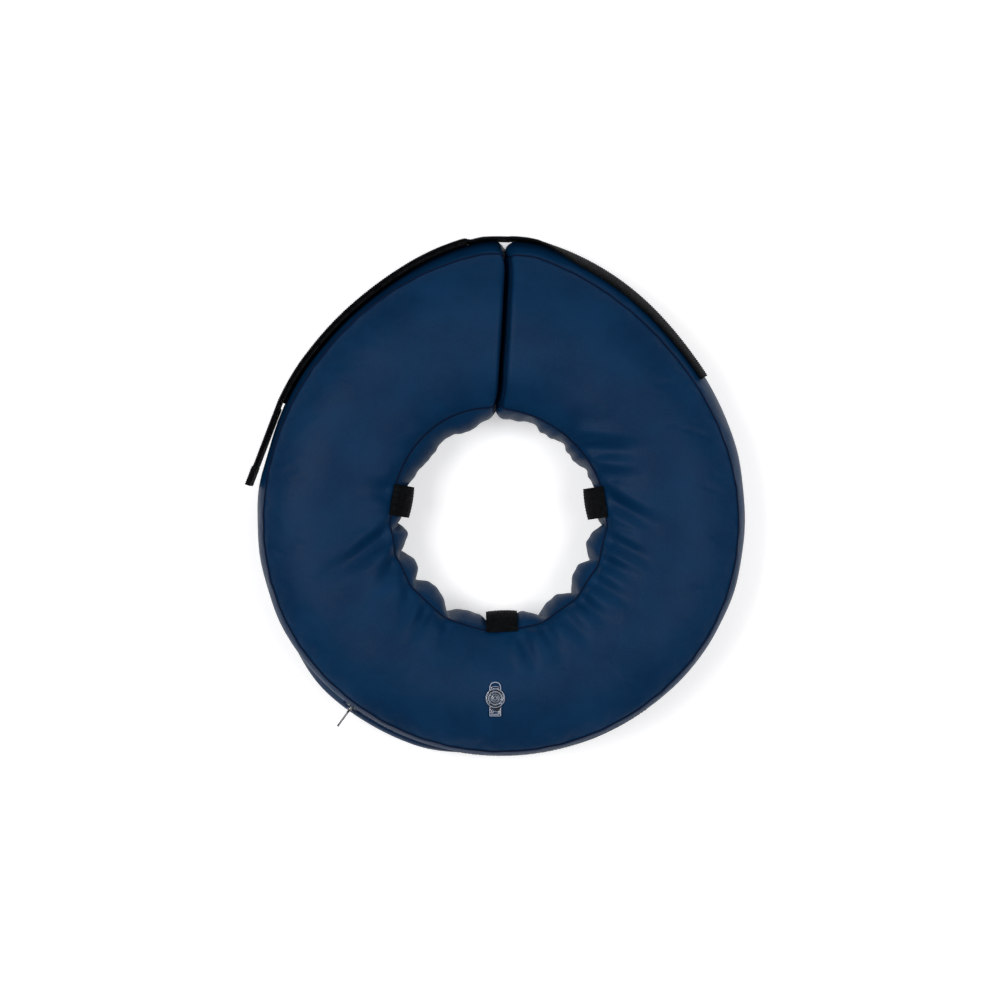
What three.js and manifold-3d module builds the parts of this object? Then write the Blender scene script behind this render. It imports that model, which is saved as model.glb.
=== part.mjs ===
// Inflatable protective collar for a dog: a C-shaped ring of coated fabric over an air bladder.
// It wraps round the neck, and a hook-and-loop strap round the outer wall closes it.
// Millimetres, +Z up. The collar lies flat, with its closure gap towards +Y.
// Along the ring, u is the angle in degrees from the middle of the lower part (-Y side):
// u > 0 runs up the right side, u < 0 up the left side, and both reach the gap at 180.

import * as THREE from "three";
import { mergeVertices } from "three/addons/utils/BufferGeometryUtils.js";
import Module from "manifold-3d";

const wasm = await Module();
wasm.setup();

// ---- Driving dimensions ----

const RING_CENTRE = [4.8, -8.6]; // puts the origin under the middle of the collar's outline
const STEP = 12; // degrees between the cross-sections of the ring
const HINGE_U = 60; // where each side arm starts

const LOW_SEAM_Z = 17; // seam of the bottom panel and the bands
const HIGH_SEAM_Z = 67; // seam of the top panel and the bands
const CROWN = 17; // how far the top panel stands above its seams
const BAND_BULGE = 9; // how far the neck band stands in from its seams
const WALL_BULGE = 6.5; // how far the outer band stands out from the mean of its seams

const SEAM_RADIUS = 195; // top outer seam round the lower part
const SEAM_WAIST = 10; // how much closer that seam is at the shoulders
const SEAM_PEAK = 17; // how much it comes out again towards the gap
const WALL_RADIUS = 201; // outer wall round the lower part, about the rail centre
const RAIL_OFFSET = 4.5; // rail centre above the ring centre
const WALL_WAIST = 9.6;
const WALL_PEAK = 17.1;
const PEAK_POWER = 1.6;

const NECK = { x: -2, y: -10, a: 86, b: 89 }; // ellipse of the neck seam about the ring centre
const GAP_LEAN = 3.4; // degrees that the closure gap leans
const GAP_SHIFT = 5.3;

const FABRIC = 1.2; // jacket
const FILM = 1.0; // bladder wall
const CLEAR = 0.3; // between neighbouring pieces
const END_CLEAR = 0.8; // from each end face to the middle of the closure gap

const WEB = 2; // strap webbing
const TAPE = 1; // hook tape
const STRAP_HEIGHTS = [24, 27, 42, 57, 62];
const LINING_HEIGHTS = [26, 27, 42, 57, 60];
const STRAP_ROOT_U = 176; // last of the strap that is sewn down
const STRAP_START_U = 123.3;
const STRAP_LEAVE_U = -115;
const TAIL_TIP = [-203.2, 17.6];

const ZIP_Z = 49.5;
const ZIP_FIRST_U = -38;
const ZIP_LAST_U = 35;
const SLIDER_U = -36;

const VALVE = [-4.4, -152];
const VALVE_SEAT_Z = 84.2;
const VALVE_HINGE_Y = -16;

const LOOP_WIDTH = 25;
const LOOP_DEPTH = 17;
const LOOP_WEB = 1.6;

// ---- Small tools ----

const rad = THREE.MathUtils.degToRad;
const ramp = (x, a, b) => THREE.MathUtils.clamp((x - a) / (b - a), 0, 1);
const smooth = (x, a, b) => ramp(x, a, b) ** 2 * (3 - 2 * ramp(x, a, b));
const mix = THREE.MathUtils.lerp;

// A closed surface through rings of points. Rings join in turn, and wrap joins the last to the first.
function loft(rings, wrap = false) {
  const n = rings[0].length;
  const index = [];
  const spans = wrap ? rings.length : rings.length - 1;
  for (let k = 0; k < spans; k++) {
    const a = k * n;
    const b = ((k + 1) % rings.length) * n;
    for (let i = 0; i < n; i++) {
      const j = (i + 1) % n;
      index.push(a + i, a + j, b + j, a + i, b + j, b + i);
    }
  }
  if (!wrap) {
    index.push(...capOf(rings[0], 0, true), ...capOf(rings.at(-1), (rings.length - 1) * n, false));
  }
  const points = rings.flat();
  const volume = signedVolume(points, index);
  const geometry = new THREE.BufferGeometry().setFromPoints(points);
  return geometry.setIndex(volume < 0 ? index.reverse() : index);
}

// Triangles that close a ring lying in an upright plane, turned to match the sides of the loft.
function capOf(ring, first, reversed) {
  const flat = ring.map((p) => new THREE.Vector2(Math.hypot(p.x, p.y), p.z));
  const turn = Math.sign(THREE.ShapeUtils.area(flat));
  return THREE.ShapeUtils.triangulateShape(flat, []).flatMap((triangle) => {
    const same = Math.sign(THREE.ShapeUtils.area(triangle.map((i) => flat[i]))) === turn;
    const ordered = same === reversed ? [...triangle].reverse() : triangle;
    return ordered.map((i) => first + i);
  });
}

function signedVolume(points, index) {
  let sum = 0;
  for (let i = 0; i < index.length; i += 3) {
    const [a, b, c] = [points[index[i]], points[index[i + 1]], points[index[i + 2]]];
    sum += a.dot(b.clone().cross(c));
  }
  return sum / 6;
}

function solid(geometry) {
  const bare = geometry.clone();
  bare.deleteAttribute("normal");
  bare.deleteAttribute("uv");
  const merged = mergeVertices(bare, 1e-4);
  return new wasm.Manifold(
    new wasm.Mesh({
      numProp: 3,
      vertProperties: merged.attributes.position.array,
      triVerts: new Uint32Array(merged.index.array),
    }),
  );
}

function shaped(manifold) {
  const mesh = manifold.getMesh();
  return new THREE.BufferGeometry()
    .setAttribute("position", new THREE.BufferAttribute(mesh.vertProperties, 3))
    .setIndex(new THREE.BufferAttribute(mesh.triVerts, 1));
}

const joined = (...pieces) => shaped(pieces.map(solid).reduce((a, b) => a.add(b)));
const cut = (piece, ...tools) => shaped(tools.map(solid).reduce((a, b) => a.subtract(b), solid(piece)));

function block(low, high) {
  const size = low.map((v, i) => high[i] - v);
  return new THREE.BoxGeometry(...size).translate(...low.map((v, i) => v + size[i] / 2));
}

function turned(profile, [x, y], sides = 24) {
  const points = profile.map(([r, z]) => new THREE.Vector2(r, z));
  return new THREE.LatheGeometry([...points, points[0]], sides).rotateX(Math.PI / 2).translate(x, y, 0);
}

function outline(points) {
  return new THREE.Shape(points.map(([x, y]) => new THREE.Vector2(x, y)));
}

// ---- The ring's shape ----

function neckRadius(u) {
  const angle = rad(270 + u);
  const c = Math.cos(angle) / NECK.a;
  const s = Math.sin(angle) / NECK.b;
  const half = -(c * NECK.x) / NECK.a - (s * NECK.y) / NECK.b;
  const rest = (NECK.x / NECK.a) ** 2 + (NECK.y / NECK.b) ** 2 - 1;
  const square = c * c + s * s;
  return (-half + Math.sqrt(half * half - square * rest)) / square;
}

function radii(u) {
  const a = Math.abs(u);
  const peak = ramp(a, 128, 174) ** PEAK_POWER;
  const seam = SEAM_RADIUS - SEAM_WAIST * smooth(a, 50, 122) + SEAM_PEAK * peak;
  const waist = WALL_WAIST * smooth(a, 45, 122);
  const wall = WALL_RADIUS - RAIL_OFFSET * Math.cos(rad(u)) - waist + WALL_PEAK * peak;
  return { seam, lowSeam: 2 * (wall - WALL_BULGE) - seam, neck: neckRadius(u) };
}

// Places along each panel, and how far it bulges there as a share of its full bulge.
const TOP = [[0, 0], [0.08, 0.4], [0.22, 0.78], [0.38, 1], [0.62, 1], [0.78, 0.78], [0.92, 0.4]];
const BAND = [[0, 0], [0.25, 0.76], [0.5, 1], [0.75, 0.76]];
const FLOOR = [[0, 0], [0.1, 0.62], [0.3, 1], [0.7, 1], [0.9, 0.62]];
const WALL = [[0, 0], [0.2, 0.65], [0.5, 1], [0.8, 0.65]];
const PANELS = { top: [0, 7], inner: [7, 11], bottom: [11, 16], outer: [16, 20] };

// The jacket's cross-section at u, as [radius, height] from the top outer seam round by the neck.
function section(u) {
  const { seam, lowSeam, neck } = radii(u);
  return [
    ...TOP.map(([t, f]) => [mix(seam, neck, t), HIGH_SEAM_Z + CROWN * f]),
    ...BAND.map(([t, f]) => [neck - BAND_BULGE * f, mix(HIGH_SEAM_Z, LOW_SEAM_Z, t)]),
    ...FLOOR.map(([t, f]) => [mix(neck, lowSeam, t), LOW_SEAM_Z * (1 - f)]),
    ...WALL.map(([t, f]) => [mix(lowSeam, seam, t) + WALL_BULGE * f, mix(LOW_SEAM_Z, HIGH_SEAM_Z, t)]),
  ];
}

// The same loop moved in by depth, its corners mitred.
function inset(loop, depth) {
  const n = loop.length;
  const points = loop.map(([x, y]) => new THREE.Vector2(x, y));
  return points.map((p, i) => {
    const before = p.clone().sub(points[(i + n - 1) % n]).normalize();
    const after = points[(i + 1) % n].clone().sub(p).normalize();
    const inward = new THREE.Vector2(-before.y - after.y, before.x + after.x).normalize();
    const square = new THREE.Vector2(-after.y, after.x);
    const moved = p.addScaledVector(inward, depth / inward.dot(square));
    return [moved.x, moved.y];
  });
}

// A point of the cross-section plane at u.
function place([r, z], u) {
  const lean = smooth(Math.abs(u), 90, 180);
  const angle = rad(270 + u - GAP_LEAN * lean);
  return new THREE.Vector3(r * Math.cos(angle) - GAP_SHIFT * lean, r * Math.sin(angle), z);
}

// A loop at the station u, every point moved back along the ring by distance towards station back.
function ringAt(loopAt, u, back = u, distance = 0) {
  const here = loopAt(u).map((p) => place(p, u));
  if (!distance) return here;
  const there = loopAt(back).map((p) => place(p, back));
  return here.map((p, i) => p.clone().add(there[i].sub(p).setLength(distance)));
}

function stations(from, to) {
  const way = Math.sign(to - from);
  const list = [];
  for (let u = from; (to - u) * way >= 0; u += STEP * way) list.push(u);
  return list;
}

// The rings of a loop swept from u to u, held back by a gap at each end.
function rings(loopAt, from, to, startGap, endGap) {
  const us = stations(from, to);
  return us.map((u, i) => {
    if (i === 0) return ringAt(loopAt, u, us[1], startGap);
    if (i === us.length - 1) return ringAt(loopAt, u, us[i - 1], endGap);
    return ringAt(loopAt, u);
  });
}

// A panel's own closed cross-section, between two seams of the jacket.
function panelSection(u, [first, last]) {
  const outside = section(u);
  const inside = inset(outside, FABRIC);
  const pick = (loop) => Array.from({ length: last - first + 1 }, (_, i) => loop[(first + i) % loop.length]);
  const [face, back] = [pick(outside), pick(inside)];
  for (const [end, next] of [[0, 1], [face.length - 1, face.length - 2]]) {
    const step = new THREE.Vector2(face[next][0] - face[end][0], face[next][1] - face[end][1]);
    step.setLength(CLEAR / 2);
    face[end] = [face[end][0] + step.x, face[end][1] + step.y];
    back[end] = [back[end][0] + step.x, back[end][1] + step.y];
  }
  return [...face, ...back.reverse()];
}

function panel(side, from, to, startGap, endGap) {
  return loft(rings((u) => panelSection(u, PANELS[side]), from, to, startGap, endGap));
}

// The bladder of the lower part is a tube open towards both arms. Those of the arms are cups.
function bladder(from, to, startGap, endGap, closed) {
  const skin = (depth) => (u) => inset(section(u), depth);
  const outside = FABRIC + CLEAR;
  const outer = rings(skin(outside), from, to, startGap, endGap);
  const inner = rings(skin(outside + FILM), from, to, startGap, endGap + (closed ? FILM : 0));
  return loft([...inner.reverse(), ...outer], !closed);
}

function endPanel(u) {
  const back = u - Math.sign(u) * STEP;
  const face = (distance) => ringAt(section, u, back, distance);
  return loft([face(END_CLEAR + FABRIC), face(END_CLEAR)]);
}

// ---- Strips that lie on the outer wall ----

function wallRadius(u, z) {
  const loop = section(u);
  const wall = [...loop.slice(PANELS.outer[0]), loop[0]];
  const k = Math.max(1, wall.findIndex(([, height]) => height >= z));
  const [[r0, z0], [r1, z1]] = [wall[k - 1], wall[k]];
  return mix(r0, r1, (z - z0) / (z1 - z0));
}

function onWall(u, z, offset) {
  const at = (v) => place([wallRadius(v, z) + offset, z], v);
  const low = Math.floor(u / STEP) * STEP;
  const share = (u - low) / STEP;
  return share < 1e-9 ? at(low) : at(low).lerp(at(low + STEP), share);
}

// Stops from one u to another, with the ring's own cross-sections between them.
function stops(from, to) {
  const between = stations(Math.ceil(from / STEP) * STEP, to).filter((u) => u > from + 0.1 && u < to - 0.1);
  return [from, ...between, to];
}

function wallStrip(us, heights, inner, outer) {
  return loft(
    us.map((u) => [
      ...heights.map((z) => onWall(u, z, outer(u))),
      ...heights.toReversed().map((z) => onWall(u, z, inner(u))),
    ]),
  );
}

const flat = (offset) => () => offset;

// ---- Materials ----

const material = (color, roughness, metalness = 0) =>
  new THREE.MeshStandardMaterial({ color, roughness, metalness });
const jacket = material(0x16305c, 0.5);
const film = material(0x9fb0c4, 0.35);
const webbing = material(0x101114, 0.85);
const fastener = material(0x17181b, 0.95);
const zipFabric = material(0x18294c, 0.8);
const zipPlastic = material(0x14203a, 0.5);
const zipMetal = material(0x5c5f66, 0.35, 0.9);
const clearPlastic = material(0xc9d6e2, 0.2);

const collar = new THREE.Group();
collar.position.set(...RING_CENTRE, 0);

function add(name, geometry, look, parent = collar) {
  const mesh = new THREE.Mesh(geometry, look);
  mesh.name = name;
  parent.add(mesh);
}

// ---- Jacket and bladder ----

const cutGap = CLEAR / 2;
const panelEnd = END_CLEAR + FABRIC + CLEAR;
const VALVE_HOLE = 7;

function holeForValve(geometry) {
  const drill = new THREE.CylinderGeometry(VALVE_HOLE, VALVE_HOLE, 30, 24);
  return cut(geometry, drill.rotateX(Math.PI / 2).translate(...VALVE, VALVE_SEAT_Z));
}

const ZIP_HALF_WINDOW = 6.5;

function windowForZip(geometry) {
  const heights = [ZIP_Z - ZIP_HALF_WINDOW, ZIP_Z + ZIP_HALF_WINDOW];
  return cut(geometry, wallStrip(stops(ZIP_FIRST_U, ZIP_LAST_U), heights, flat(-4), flat(4)));
}

function lowerRing() {
  const make = (side) => panel(side, -HINGE_U, HINGE_U, cutGap, cutGap);
  add("top_panel_lower", holeForValve(make("top")), jacket);
  add("bottom_panel_lower", make("bottom"), jacket);
  add("outer_band_lower", windowForZip(make("outer")), jacket);
  add("neck_band_lower", make("inner"), jacket);
  add("bladder_lower", holeForValve(bladder(-HINGE_U, HINGE_U, cutGap, cutGap, false)), film);
}

function arm(name, way) {
  const names = { top: "top_panel", bottom: "bottom_panel", outer: "outer_band", inner: "neck_band" };
  for (const side of Object.keys(names)) {
    add(`${names[side]}_${name}`, panel(side, way * HINGE_U, way * 180, cutGap, panelEnd), jacket);
  }
  add(`end_panel_${name}`, endPanel(way * 180), jacket);
  add(`bladder_${name}`, bladder(way * HINGE_U, way * 180, cutGap, panelEnd + CLEAR, true), film);
}

// ---- Loops that the pet's own collar goes through ----

// A webbing strip from seam to seam, square to the neck band. Its own x runs out from the neck seam.
function keeperLoop(name, u) {
  const seam = place([neckRadius(u), 0], u);
  const facing = Math.atan2((seam.y - NECK.y) / NECK.b ** 2, (seam.x - NECK.x) / NECK.a ** 2);
  const [top, bottom] = [HIGH_SEAM_Z + 1, LOW_SEAM_Z - 1];
  const strip = outline([
    [-1.8, top],
    [-LOOP_DEPTH, 55],
    [-LOOP_DEPTH, 29],
    [-1.8, bottom],
    [-3, bottom - 1.1],
    [-LOOP_DEPTH - LOOP_WEB, 28.3],
    [-LOOP_DEPTH - LOOP_WEB, 55.7],
    [-3, top + 1.1],
  ]);
  const geometry = new THREE.ExtrudeGeometry(strip, { depth: LOOP_WIDTH, bevelEnabled: false });
  geometry.translate(0, 0, -LOOP_WIDTH / 2).rotateX(Math.PI / 2).rotateZ(facing);
  add(name, geometry.translate(seam.x, seam.y, 0), webbing);
}

// ---- Closure strap ----

const SEWN_OUT = CLEAR + WEB; // outer face of the part that is sewn down
const LINING_OUT = CLEAR + TAPE;
const HOOK_IN = LINING_OUT + CLEAR;
const WEB_IN = HOOK_IN + TAPE + CLEAR;

// The free part starts level with the sewn part and rises over the lining on the left wall.
const strapIn = (u) => (u > 0 ? 0.5 : WEB_IN);
const strapOut = (u) => strapIn(u) + WEB;

function strap() {
  const sewn = stops(STRAP_START_U, STRAP_ROOT_U);
  add("strap_anchor", wallStrip(sewn, STRAP_HEIGHTS, flat(CLEAR), flat(SEWN_OUT)), webbing);
  const lining = stops(-168, STRAP_LEAVE_U);
  add("strap_lining", wallStrip(lining, LINING_HEIGHTS, flat(CLEAR), flat(LINING_OUT)), fastener);
  const free = [STRAP_ROOT_U + 0.2, 180, ...stops(-168, STRAP_LEAVE_U)];
  add("strap_webbing", wallStrip(free, STRAP_HEIGHTS, strapIn, strapOut), webbing);
  const hooks = stops(-167, STRAP_LEAVE_U);
  add("strap_hook_tape", wallStrip(hooks, LINING_HEIGHTS, flat(HOOK_IN), flat(HOOK_IN + TAPE)), fastener);
}

// The tail hangs past the lining. Its own x runs along it and its y out of the wall.
function strapTail() {
  const root = onWall(STRAP_LEAVE_U, 42, WEB_IN + WEB / 2);
  const run = new THREE.Vector2(TAIL_TIP[0] - root.x, TAIL_TIP[1] - root.y);
  const tail = new THREE.Group();
  tail.position.set(root.x, root.y, 0);
  tail.rotation.z = run.angle();
  const length = run.length();
  const fold = length - 16;
  const [low, high] = [STRAP_HEIGHTS[0], STRAP_HEIGHTS.at(-1)];
  const half = WEB / 2;
  const side = outline([
    [CLEAR + 0.2, -half],
    [length, -half],
    [length, half + 1.6],
    [fold, half + 1.6],
    [fold, half],
    [CLEAR + 0.2, half],
  ]);
  const body = new THREE.ExtrudeGeometry(side, { depth: high - low, bevelEnabled: false });
  add("strap_tail", body.translate(0, 0, low), webbing, tail);
  const hooks = block([4, half + CLEAR, low + 3], [fold - CLEAR, half + CLEAR + TAPE, high - 3]);
  add("strap_tail_hook_tape", hooks, fastener, tail);
  collar.add(tail);
}

// ---- Zip ----

const COIL_IN = 0.1;
const COIL_OUT = 1.4;

function zip() {
  const us = stops(ZIP_FIRST_U + 0.2, ZIP_LAST_U - 0.2);
  const tape = (low, high) => wallStrip(us, [ZIP_Z + low, ZIP_Z + high], flat(-FABRIC), flat(-0.2));
  add("zip_tape_upper", tape(0.2, 6.2), zipFabric);
  add("zip_tape_lower", tape(-6.2, -0.2), zipFabric);
  const run = stops(SLIDER_U - 0.4, ZIP_LAST_U - 2);
  const coil = (low, high) => wallStrip(run, [ZIP_Z + low, ZIP_Z + high], flat(COIL_IN), flat(COIL_OUT));
  add("zip_coil_upper", coil(0.15, 2.5), zipPlastic);
  add("zip_coil_lower", coil(-2.5, -0.15), zipPlastic);
  const stop = (u) => wallStrip([u, u + 0.8], [ZIP_Z - 2.5, ZIP_Z + 2.5], flat(COIL_IN), flat(COIL_OUT));
  add("zip_stop_closed_end", stop(SLIDER_U - 1.6), zipMetal);
  add("zip_stop_open_end", stop(ZIP_LAST_U - 1.6), zipMetal);
}

// The slider's own x runs out of the wall, y along the zip. It turns about the rail centre.
const PLATE = [WALL_RADIUS + 1.8, WALL_RADIUS + 2.9];
const BAR_X = WALL_RADIUS + 5.4;

function zipSlider() {
  const slider = new THREE.Group();
  slider.position.set(0, RAIL_OFFSET, 0);
  slider.rotation.z = rad(270 + SLIDER_U);
  const plate = block([PLATE[0], -5, ZIP_Z - 4.7], [PLATE[1], 5, ZIP_Z + 4.7]);
  const flange = (low, high) => block([WALL_RADIUS + 0.6, -4, ZIP_Z + low], [PLATE[0] + 0.1, 4, ZIP_Z + high]);
  const post = (low, high) => block([PLATE[1] - 0.1, -0.7, ZIP_Z + low], [BAR_X + 0.5, 0.7, ZIP_Z + high]);
  const bar = block([BAR_X - 0.5, -0.6, ZIP_Z - 2.5], [BAR_X + 0.5, 0.6, ZIP_Z + 2.5]);
  const body = joined(plate, flange(3.2, 4.7), flange(-4.7, -3.2), post(2.2, 3.2), post(-3.2, -2.2), bar);
  add("zip_slider", body, zipMetal, slider);
  const grip = outline([[1.3, -1.8], [3.2, -3.2], [14.6, -3.2], [17, -1.8], [17, 1.8], [14.6, 3.2], [3.2, 3.2], [1.3, 1.8]]);
  grip.holes.push(new THREE.Path().absellipse(13.6, 0, 1.5, 1.5, 0, 2 * Math.PI));
  const tab = new THREE.ExtrudeGeometry(grip, { depth: 1.8, bevelEnabled: false, curveSegments: 6 });
  tab.rotateX(Math.PI / 2).translate(BAR_X, 0.9, ZIP_Z);
  const eye = turned([[1, ZIP_Z - 1.8], [1.9, ZIP_Z - 1.8], [1.9, ZIP_Z + 1.8], [1, ZIP_Z + 1.8]], [BAR_X, 0], 16);
  add("zip_pull", joined(tab, eye), zipMetal, slider);
  collar.add(slider);
}

// ---- Inflation valve ----

function valve() {
  const z = VALVE_SEAT_Z;
  const [x, y] = VALVE;
  add("valve_sleeve", turned([[6.5, 69], [7.4, 69], [7.4, 79], [11, 79], [11, 79.9], [6.5, 79.9]], VALVE), clearPlastic);
  const tube = turned([[3.7, 68], [6.2, 68], [6.2, z], [8, z], [8, z + 1.4], [3.7, z + 1.4]], VALVE);
  const tongue = block([x - 5, y + VALVE_HINGE_Y - 0.5, z], [x + 5, y - 6.6, z + 1]);
  add("valve_stem", joined(tube, tongue), clearPlastic);
  const flap = new THREE.CylinderGeometry(5.4, 5.4, 0.8, 20).rotateX(Math.PI / 2);
  add("valve_check_flap", flap.translate(x, y, 67.2), clearPlastic);
  const lid = z + 1.7;
  const cap = turned([[0, lid - 4], [2.4, lid - 4], [2.8, lid], [7.4, lid], [7.4, lid + 1.4], [0, lid + 1.4]], VALVE);
  const strip = block([x - 4.5, y + VALVE_HINGE_Y + 0.4, lid], [x + 4.5, y - 6, lid + 1]);
  const grip = cut(
    block([x - 4.8, y + 6, lid], [x + 4.8, y + 12.4, lid + 1]),
    block([x - 2.6, y + 8.4, lid - 1], [x + 2.6, y + 10.8, lid + 2]),
  );
  add("valve_cap", joined(cap, strip, grip), clearPlastic);
}

lowerRing();
arm("left", -1);
arm("right", 1);
keeperLoop("collar_loop_lower", 0.5);
keeperLoop("collar_loop_left", -94);
keeperLoop("collar_loop_right", 93);
strap();
strapTail();
zip();
zipSlider();
valve();

export default collar;
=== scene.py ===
"""Looks of the inflatable protective pet collar: jacket, strap, loops, zip, valve and studio.

A place round the ring is given as u, in degrees: 0 at the bottom (-Y), positive on the right, and 180 at
the closure gap. The strap's own places, s, run on past 180 into the left side and along the tail. A share t
is 0 at a panel's first seam and 1 at its last. Sizes are in millimetres, and MM turns them into the frame's
metres.
"""

import math

import bmesh
import bpy
import numpy as np
from mathutils import Matrix, Vector


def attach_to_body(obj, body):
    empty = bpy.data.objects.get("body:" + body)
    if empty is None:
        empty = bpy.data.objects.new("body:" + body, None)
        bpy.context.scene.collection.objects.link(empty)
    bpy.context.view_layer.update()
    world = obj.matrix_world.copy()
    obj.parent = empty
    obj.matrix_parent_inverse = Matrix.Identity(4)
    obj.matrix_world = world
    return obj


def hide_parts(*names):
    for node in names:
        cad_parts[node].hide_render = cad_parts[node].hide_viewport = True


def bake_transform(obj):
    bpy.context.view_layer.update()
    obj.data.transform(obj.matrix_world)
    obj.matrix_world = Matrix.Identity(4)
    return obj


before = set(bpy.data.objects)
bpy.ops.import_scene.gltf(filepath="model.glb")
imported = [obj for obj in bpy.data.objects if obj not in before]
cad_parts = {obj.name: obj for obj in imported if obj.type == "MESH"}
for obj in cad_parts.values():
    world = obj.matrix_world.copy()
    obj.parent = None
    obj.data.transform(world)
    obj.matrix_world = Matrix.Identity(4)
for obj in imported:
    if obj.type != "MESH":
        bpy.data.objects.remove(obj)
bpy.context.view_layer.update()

MM = 0.001

# ---- Driving sizes: the ring ----

RING_CENTRE = (4.8, -8.6)
LOW_SEAM_Z = 17.0
HIGH_SEAM_Z = 67.0
SEAM_RADIUS = 195.0
SEAM_WAIST = 10.0  # how much narrower the ring is at its sides than at the bottom
SEAM_PEAK = 17.0  # how far the ends are drawn out at the closure
SEAM_WAIST_U = (50, 122)  # the waist and the peak come in over these degrees to both sides of the bottom
WALL_RADIUS = 201.0  # the zip's own round, which the outer band follows
WALL_WAIST = 9.6
WALL_PEAK = 17.1
WALL_WAIST_U = (45, 122)
PEAK_U = (128, 174)
PEAK_POWER = 1.6
RAIL_Y = 4.5  # the middle of the zip's round lies this far behind the ring's centre
NECK = dict(x=-2.0, y=-10.0, a=86.0, b=89.0)  # the neck seams' ellipse about the ring's centre
GAP_LEAN = 3.4  # degrees by which the closure gap stands off 180
GAP_SHIFT = 5.3
HALVES_MEET_U = 12.0

# ---- Driving sizes: the jacket's skin ----

CROWN = 17.0  # the top panel's height above its seams, and the powers that shape it
CROWN_SHAPE = (2.3, 0.72)
NECK_BULGE = 9.0
WALL_BULGE = 6.5
ZIP_PROUD = 2.0  # the cloth beside the zip stands out this far
LOWER_BELLY = 5.5  # the outer band's belly below the zip
FOLD_STRENGTH = 1.4
SEAM_WOBBLE = 1.6
SEAM_CORD = 0.7  # radius of the dark seam cords, which are painted shade of the seam valleys, and of the thinner ones round the ends
END_CORD = 0.5
END_BELLY = 4.6  # both ends belly to the left, so that no light falls through the gap
END_PROUD = 2.6
END_CLOSER = 2.4
END_WAY = np.array([1.0, 0.0, 0.0])
END_ROUNDING = (4.5, 9.5)  # how far back the ends are rounded, on the panels and on the outer wall

# ---- Driving sizes: the air ----

AIR_PRESSURE = 9.0
AIR_STEPS = 14
AIR_REACH = 5.0  # no point of the cloth moves further than this
GATHER = 0.035  # the cloth at the neck is cut this much too large
FILM_DEPTH = 3.0  # the bladder lies this far inside the jacket

# ---- Driving sizes: strap, zip and valve ----

STRAP_Z = (24.0, 62.5)
STRAP_MIDDLE_Z = 42.0
HOOKS_Z = (26.0, 60.0)
TAIL_HOOKS_Z = (27, 59)
STRAP_START_U = 123.3
STRAP_CUT_U = 222.0
STRAP_LEAVE_U = 245.0
STRAP_STANDS_U = (162, 178)  # the strap stands up straight from here on
ON_HOOKS_U = (188.2, 190.0)  # the strap climbs onto its hooks and pile here
HOOKS_START_U = 189.2
HOOKS_STEP = 1.6
PILE = (0.2, 1.25)  # offsets from the wall of the pile's and the hook tapes' faces
HOOK_TAPE = (1.5, 2.7)
TAIL_HOOK_TAPE = (1.7, 2.8)
DEGREE_LENGTH = 3.5  # about what a degree of u is worth on the wall
TAIL_TIP = (-199.6, 16.2)  # about the ring's centre
TAIL_STEP = 3.4  # a degree of u is worth this much of the tail
TAIL_FOLD = 5.0  # degrees of the tail that are folded back on themselves
TAIL_FOLD_IN = 1.2  # how much thicker the fold is on its inner and on its outer side
TAIL_FOLD_OUT = 0.8
WEB = 1.6
SOFT_EDGE = 0.35
RIB = 0.6  # how far the webbing's ribs stand out
RIB_PITCH = 1.8
RIB_STEP = 0.45
ON_WALL = 0.4  # the webbing lies this far off the wall, and further off where the hooks and pile lie under it
ON_HOOKS = 2.9

LOOP_WIDTH = 25.0
LOOP_HALF_THICK = 0.8
LOOP_DEPTH = 0.78  # how deep the loops stand in the opening, as a share of the path below
LOOP_PATH = [(0.5, 69.3), (-2.5, 69.6), (-6, 67.8), (-12, 62), (-16.4, 56.2), (-17.6, 52), (-17.9, 42)]
LOOP_PATH += [(-17.6, 32), (-16.4, 27.8), (-12, 22), (-6, 16.6), (-2.5, 14.6), (0.5, 14.4)]

ZIP_Z = 49.5
ZIP_HALF_WINDOW = 6.5
ZIP_U = (-38.0, 35.0)
ZIP_MIDDLE_U = -1.0
ZIP_RECESS = 1.6
SLIDER_U = -36.0

VALVE = (-4.6, -151.2)
VALVE_SEAT_Z = 84.2
VALVE_SEAT = (12, 26)  # the cloth is level this far round the valve, and as it was further out
VALVE_HOLE = 7.0

# How much the outer wall stands out beyond its round, every 15 degrees of u from -180 to 180.
UNEVEN = [1.5, 0.5, -3.0, -2.5, -1.5, -1.5, 1.0, 1.5, 2.5, 3.5, 3.5, 3.5]
UNEVEN += [0.5, 3.5, 3.0, 3.5, 2.5, 1.0, 1.5, 1.8, 2.4, 3.0, 4.5, 4.0, 1.5]

# Where the gathered neck band is drawn in between its lobes, in degrees of u.
CUSPS = [-96, -81, -66, -49.5, -27.5, -3, 19.5, 39.5, 59, 80, 96]

# Folds of the top panel near the neck, about the ring's centre: angle and radius of the inner end, angle and
# radius of the outer end, depth and width.
FOLDS = [
    (192, 88, 203, 152, 3.4, 7.0),
    (206, 92, 216, 128, 1.6, 6.0),
    (222, 96, 231, 126, 1.4, 6.0),
    (234, 100, 236, 136, 1.8, 5.0),
    (246, 102, 247, 124, 1.3, 5.0),
    (279, 104, 282, 138, 2.2, 5.5),
    (290, 102, 292, 130, 1.7, 5.0),
    (300, 100, 304, 134, 1.6, 5.5),
    (311, 96, 313, 126, 1.8, 5.0),
    (321, 92, 324, 136, 2.0, 6.0),
    (332, 90, 333, 118, 1.4, 5.0),
    (343, 88, 340, 132, 2.4, 6.0),
    (5, 84, 352, 130, 2.6, 6.5),
    (20, 84, 12, 112, 1.4, 6.0),
    (34, 84, 20, 124, 2.8, 8.0),
    (170, 86, 174, 118, 1.3, 8.0),
]


# ---- Numbers ----


def ramp(x, a, b):
    return np.clip((x - a) / (b - a), 0.0, 1.0)


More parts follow.
